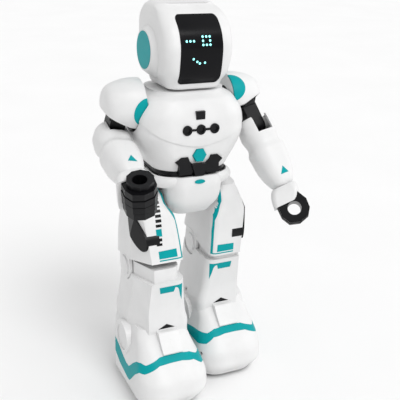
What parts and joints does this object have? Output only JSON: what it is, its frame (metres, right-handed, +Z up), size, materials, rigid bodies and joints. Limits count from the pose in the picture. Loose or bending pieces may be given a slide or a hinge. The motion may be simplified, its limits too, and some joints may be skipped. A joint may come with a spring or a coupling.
{
  "type": "walking humanoid robot toy",
  "caption": "White, teal and black humanoid robot toy with a screen face, posable arms with gripping fists and swinging legs on wheeled feet.",
  "frame": {"origin": "middle of the standing robot's bounding box, on the floor under its wheels", "axes": "+Z up, the face looks along -Y, the robot's own left side is towards +X"},
  "size_m": [0.1406, 0.113, 0.264],
  "materials": {
    "white": "smooth moulded white plastic",
    "teal": "teal moulded plastic",
    "black": "black moulded plastic",
    "visor": "dark tinted glossy screen",
    "grey": "grey moulded plastic",
    "rubber": "black rubber",
    "steel": "plated steel",
    "board": "green circuit board",
    "speaker": "black speaker cone and frame",
    "battery": "shrink-wrapped battery"
  },
  "bodies": {
    "torso": {"back_shell": "white", "battery_door": "white", "battery_pack": "battery", "belt_trim": "black", "chest_shell": "white", "hip_pin": "steel", "main_board": "board", "pelvis_badge": "teal", "pelvis_front_shell": "white", "pelvis_rear_shell": "white", "sensor_bar": "black", "sensor_window": "black", "speaker": "speaker", "torso_screws": "steel"},
    "mode_button": {"mode_button": "teal"},
    "power_switch": {"power_switch": "black"},
    "head": {"head_front_shell": "white", "head_rear_shell": "white", "visor": "visor", "ear_cups": "white", "ear_discs": "teal", "led_board": "board", "neck_post": "white"},
    "left_arm": {"left_shoulder_pad": "white", "left_shoulder_patch": "teal", "left_upper_arm": "black"},
    "left_forearm": {"left_forearm_front_shell": "white", "left_forearm_rear_shell": "white", "left_elbow_pin": "steel"},
    "left_hand": {"left_fist": "black", "left_hand_plate": "white"},
    "left_thigh": {"left_thigh_outer_shell": "white", "left_thigh_inner_shell": "white", "left_thigh_cover": "black", "left_knee_pin": "white"},
    "left_shin": {"left_shin_outer_shell": "white", "left_shin_inner_shell": "white", "left_sole_plate": "grey", "left_foot_motor": "steel"},
    "left_drive_wheels": {"left_drive_wheels": "rubber"},
    "left_front_roller": {"left_front_roller": "rubber"},
    "right_arm": {"right_shoulder_pad": "white", "right_shoulder_patch": "teal", "right_upper_arm": "black"},
    "right_forearm": {"right_forearm_front_shell": "white", "right_forearm_rear_shell": "white", "right_elbow_pin": "steel"},
    "right_hand": {"right_fist": "black", "right_hand_plate": "white"},
    "right_thigh": {"right_thigh_outer_shell": "white", "right_thigh_inner_shell": "white", "right_thigh_cover": "black", "right_knee_pin": "white"},
    "right_shin": {"right_shin_outer_shell": "white", "right_shin_inner_shell": "white", "right_sole_plate": "grey", "right_foot_motor": "steel"},
    "right_drive_wheels": {"right_drive_wheels": "rubber"},
    "right_front_roller": {"right_front_roller": "rubber"}
  },
  "joints": [
    {"name": "head_turn", "type": "hinge", "parent": "torso", "child": "head", "pos_m": [-0.00617, 0.01253, 0.212], "axis": [0, 0, 1], "range_deg": [-60, 60]},
    {"name": "mode_button_press", "type": "slide", "parent": "torso", "child": "mode_button", "axis": [0, 1, 0], "range_m": [0, 0.0008], "stiffness_N_per_m": 400, "springref_m": -0.0008},
    {"name": "power_switch_slide", "type": "slide", "parent": "torso", "child": "power_switch", "axis": [1, 0, 0], "range_m": [0, 0.0044]},
    {"name": "left_shoulder", "type": "hinge", "parent": "torso", "child": "left_arm", "pos_m": [0.03783, 0.01253, 0.2], "axis": [-1, 0, 0], "range_deg": [-62, 133]},
    {"name": "left_elbow", "type": "hinge", "parent": "left_arm", "child": "left_forearm", "pos_m": [0.04282, -0.0016, 0.18125], "axis": [-0.9781, -0.1251, -0.166], "range_deg": [0, 85]},
    {"name": "left_wrist", "type": "hinge", "parent": "left_forearm", "child": "left_hand", "pos_m": [0.05238, -0.02868, 0.14532], "axis": [-0.2079, 0.5887, 0.7812], "range_deg": [-150, 30]},
    {"name": "right_shoulder", "type": "hinge", "parent": "torso", "child": "right_arm", "pos_m": [-0.05017, 0.01253, 0.2], "axis": [-1, 0, 0], "range_deg": [-15, 180]},
    {"name": "right_elbow", "type": "hinge", "parent": "right_arm", "child": "right_forearm", "pos_m": [-0.05516, 0.01661, 0.17688], "axis": [-0.9781, -0.0361, 0.2048], "range_deg": [-82, 3]},
    {"name": "right_wrist", "type": "hinge", "parent": "right_forearm", "child": "right_hand", "pos_m": [-0.05649, -0.02717, 0.1628], "axis": [0.0289, 0.9516, 0.306], "range_deg": [-160, 20]},
    {"name": "right_hip", "type": "hinge", "parent": "torso", "child": "right_thigh", "pos_m": [-0.00617, 0.01253, 0.14803], "axis": [-1, 0, 0], "range_deg": [-21.3, 2.7]},
    {"name": "left_hip", "type": "hinge", "parent": "torso", "child": "left_thigh", "pos_m": [-0.00617, 0.01253, 0.14803], "axis": [-1, 0, 0], "range_deg": [-2.7, 21.3]},
    {"name": "right_knee", "type": "hinge", "parent": "right_thigh", "child": "right_shin", "pos_m": [-0.00617, 0.00303, 0.09], "axis": [-1, 0, 0], "range_deg": [-2.7, 21.3]},
    {"name": "left_knee", "type": "hinge", "parent": "left_thigh", "child": "left_shin", "pos_m": [-0.00617, 0.02203, 0.09], "axis": [-1, 0, 0], "range_deg": [-21.3, 2.7]},
    {"name": "left_drive", "type": "hinge", "parent": "left_shin", "child": "left_drive_wheels", "pos_m": [0.01963, 0.03403, 0.007], "axis": [1, 0, 0], "continuous": true},
    {"name": "left_roll", "type": "hinge", "parent": "left_shin", "child": "left_front_roller", "pos_m": [0.01963, -0.00797, 0.005], "axis": [1, 0, 0], "continuous": true},
    {"name": "right_drive", "type": "hinge", "parent": "right_shin", "child": "right_drive_wheels", "pos_m": [-0.03197, 0.01503, 0.007], "axis": [1, 0, 0], "continuous": true},
    {"name": "right_roll", "type": "hinge", "parent": "right_shin", "child": "right_front_roller", "pos_m": [-0.03197, -0.02697, 0.005], "axis": [1, 0, 0], "continuous": true}
  ],
  "couplings": [
    {"joint": "left_hip", "follows": "right_hip", "ratio": -1},
    {"joint": "right_knee", "follows": "right_hip", "ratio": -1},
    {"joint": "left_knee", "follows": "right_hip", "ratio": 1}
  ]
}
